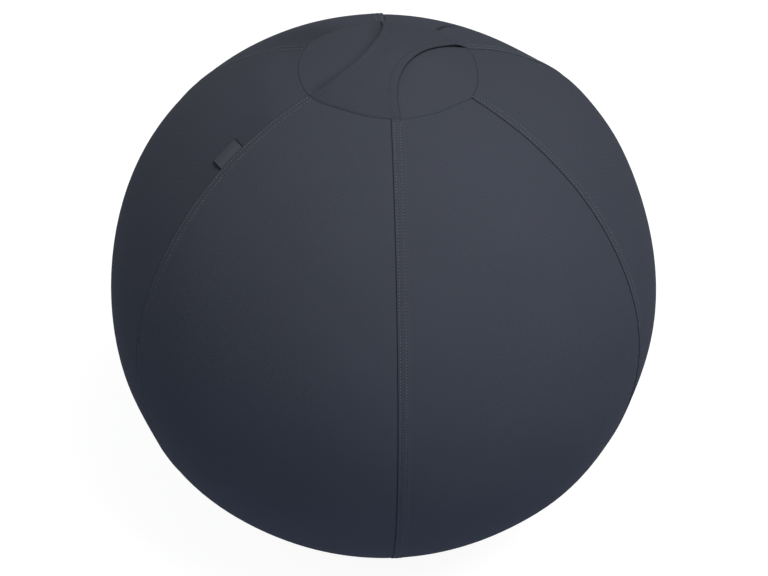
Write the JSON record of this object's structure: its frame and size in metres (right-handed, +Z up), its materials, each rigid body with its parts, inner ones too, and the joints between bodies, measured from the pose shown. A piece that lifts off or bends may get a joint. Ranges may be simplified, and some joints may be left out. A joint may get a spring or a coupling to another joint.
{
  "type": "sitting ball",
  "caption": "Round inflatable office seat in a sewn fabric cover with a hand strap on the crown, a zip at the back and a weighted flat base.",
  "frame": {"origin": "on the floor, under the middle of the ball", "axes": "+Z up, the front seam towards -Y, the zip at +Y"},
  "size_m": [0.6418, 0.6506, 0.6444],
  "materials": {
    "slate_cloth": "matt fine knit cloth, slate grey",
    "lining_cloth": "plain lining cloth, dark grey",
    "label_weave": "woven ribbon, dark grey, bare",
    "zip_tape": "woven zip tape, dark grey",
    "zip_plastic": "moulded, near black",
    "zip_metal": "dark gunmetal lacquer",
    "bladder_vinyl": "soft vinyl, grey, slight sheen",
    "plug_plastic": "moulded, off-white",
    "ring_rubber": "matt black"
  },
  "bodies": {
    "cover": {"cover_panel_1": "slate_cloth", "cover_panel_2": "slate_cloth", "cover_panel_3": "slate_cloth", "cover_panel_4": "slate_cloth", "cover_panel_5": "slate_cloth", "cover_panel_6": "slate_cloth", "top_patch": "slate_cloth", "bottom_patch": "slate_cloth", "base_lining": "lining_cloth", "zip_tape_left": "zip_tape", "zip_tape_right": "zip_tape", "zip_teeth_left": "zip_plastic", "zip_teeth_right": "zip_plastic", "zip_top_stop_left": "zip_plastic", "zip_top_stop_right": "zip_plastic", "zip_bottom_stop": "zip_plastic", "inner_bladder": "bladder_vinyl", "valve_plug": "plug_plastic", "base_ring": "ring_rubber"},
    "strap": {"carry_strap": "slate_cloth"},
    "label": {"side_label": "label_weave"},
    "slider": {"zip_slider": "zip_metal"},
    "pull": {"zip_pull": "zip_metal"}
  },
  "joints": [
    {"name": "strap_lift", "type": "slide", "parent": "cover", "child": "strap", "axis": [0, 0, 1], "range_m": [0, 0.03]},
    {"name": "label_flip", "type": "hinge", "parent": "cover", "child": "label", "pos_m": [-0.16905, -0.0976, 0.57143], "axis": [0.6977, 0.4028, 0.5925], "range_deg": [0, 110]},
    {"name": "zip_travel", "type": "hinge", "parent": "cover", "child": "slider", "pos_m": [0, 0, 0.31409], "axis": [-1, 0, 0], "range_deg": [0, 49.6]},
    {"name": "pull_swing", "type": "hinge", "parent": "slider", "child": "pull", "pos_m": [0, 0.3167, 0.2331], "axis": [1, 0, 0], "range_deg": [-13, 160]}
  ]
}
